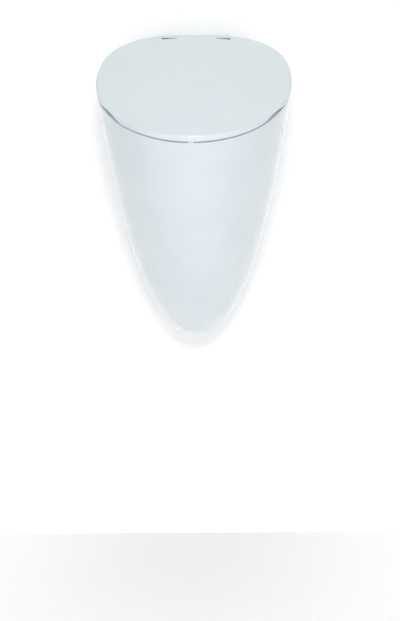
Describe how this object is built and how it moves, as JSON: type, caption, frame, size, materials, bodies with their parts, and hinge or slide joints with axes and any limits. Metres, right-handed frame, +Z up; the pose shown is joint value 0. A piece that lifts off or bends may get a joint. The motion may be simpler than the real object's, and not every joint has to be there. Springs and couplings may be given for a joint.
{
  "type": "wall hung urinal with lid",
  "caption": "White ceramic wall hung urinal with an oval soft-closing lid, a flush spreader in the bowl, an outlet sieve and a hidden trap behind the wall face.",
  "frame": {"origin": "on the wall plane, midway between the two wall fixings", "axes": "+Z up, +X to the right seen from the front, +Y into the wall; the bowl stands out along -Y"},
  "size_m": [0.3006, 0.3153, 0.4918],
  "materials": {
    "ceramic": "glossy white glaze",
    "lid_plastic": "glossy white moulding",
    "clear_rubber": "milky soft pad",
    "black_rubber": "matt black",
    "grey_plastic": "light grey, satin",
    "trap_plastic": "off-white, satin",
    "hinge_metal": "dark grey, satin",
    "chrome": "polished",
    "steel": "satin"
  },
  "bodies": {
    "bowl": {"bowl_body": "ceramic", "inlet_spud": "chrome", "inlet_lip_seal": "black_rubber", "inlet_gasket": "black_rubber", "spreader_gasket": "black_rubber", "flush_spreader": "chrome", "outlet_strainer": "chrome", "strainer_screw": "steel", "outlet_gasket": "black_rubber", "trap_body": "trap_plastic", "waste_lip_seal": "black_rubber", "hinge_knuckle_left": "hinge_metal", "hinge_cap_left": "lid_plastic", "hinge_rosette_left": "chrome", "hinge_spindle_left": "steel", "hinge_stud_left": "steel", "stud_bushing_left": "black_rubber", "stud_washer_left": "steel", "wing_nut_left": "grey_plastic", "fixing_bush_left": "grey_plastic", "hinge_knuckle_right": "hinge_metal", "hinge_cap_right": "lid_plastic", "hinge_rosette_right": "chrome", "hinge_spindle_right": "steel", "hinge_stud_right": "steel", "stud_bushing_right": "black_rubber", "stud_washer_right": "steel", "wing_nut_right": "grey_plastic", "fixing_bush_right": "grey_plastic"},
    "lid": {"lid_shell": "lid_plastic", "front_buffer": "clear_rubber", "side_buffer_left": "clear_rubber", "side_buffer_right": "clear_rubber", "soft_close_damper_left": "grey_plastic", "soft_close_damper_right": "grey_plastic"}
  },
  "joints": [
    {"name": "lid_hinge", "type": "hinge", "parent": "bowl", "child": "lid", "pos_m": [0, -0.03074, 0.09283], "axis": [-1, 0, 0], "range_deg": [0, 110]}
  ]
}
